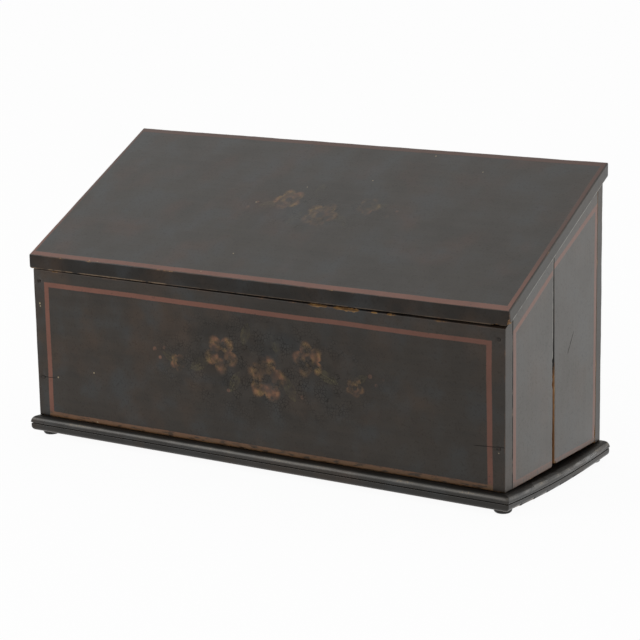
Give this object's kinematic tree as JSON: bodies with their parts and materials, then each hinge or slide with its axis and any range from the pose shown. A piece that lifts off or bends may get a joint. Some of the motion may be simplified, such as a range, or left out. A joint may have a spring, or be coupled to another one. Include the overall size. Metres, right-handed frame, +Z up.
{
  "type": "slope-topped stationery box",
  "caption": "Slope-topped wooden stationery box with a rear-hinged lid, low front, high back, inner dividers, moulded base and small button feet.",
  "frame": {"origin": "centre of the overall footprint, at the feet's soles", "axes": "+X to the right along the front board, +Y to the back, +Z up"},
  "size_m": [0.4308, 0.1644, 0.2267],
  "materials": {
    "black_paint": "aged black-green paint over wood, satin, red-brown lining",
    "bare_pine": "unpainted softwood, darkened with age",
    "brass": "tarnished",
    "iron": "rusted black"
  },
  "bodies": {
    "box": {"front_board": "black_paint", "back_board": "black_paint", "base_board": "black_paint", "front_divider": "bare_pine", "rear_divider": "bare_pine", "base_nails_front": "iron", "base_nails_rear": "iron", "left_side_front_plank": "black_paint", "left_side_rear_plank": "black_paint", "front_nails_left": "iron", "back_nails_left": "iron", "left_slip_before_front_divider": "bare_pine", "left_slip_behind_front_divider": "bare_pine", "left_slip_before_rear_divider": "bare_pine", "left_slip_behind_rear_divider": "bare_pine", "hinge_left_box_leaf": "brass", "hinge_left_pin": "brass", "hinge_left_box_screws": "brass", "right_side_front_plank": "black_paint", "right_side_rear_plank": "black_paint", "front_nails_right": "iron", "back_nails_right": "iron", "right_slip_before_front_divider": "bare_pine", "right_slip_behind_front_divider": "bare_pine", "right_slip_before_rear_divider": "bare_pine", "right_slip_behind_rear_divider": "bare_pine", "hinge_right_box_leaf": "brass", "hinge_right_pin": "brass", "hinge_right_box_screws": "brass", "foot_front_left": "black_paint", "foot_front_right": "black_paint", "foot_rear_left": "black_paint", "foot_rear_right": "black_paint"},
    "lid": {"lid_board": "black_paint", "hinge_left_lid_leaf": "brass", "hinge_left_lid_screws": "brass", "hinge_right_lid_leaf": "brass", "hinge_right_lid_screws": "brass"}
  },
  "joints": [
    {"name": "lid_hinge", "type": "hinge", "parent": "box", "child": "lid", "pos_m": [-0.0014, 0.07815, 0.21631], "axis": [-1, 0, 0], "range_deg": [0, 180]}
  ]
}
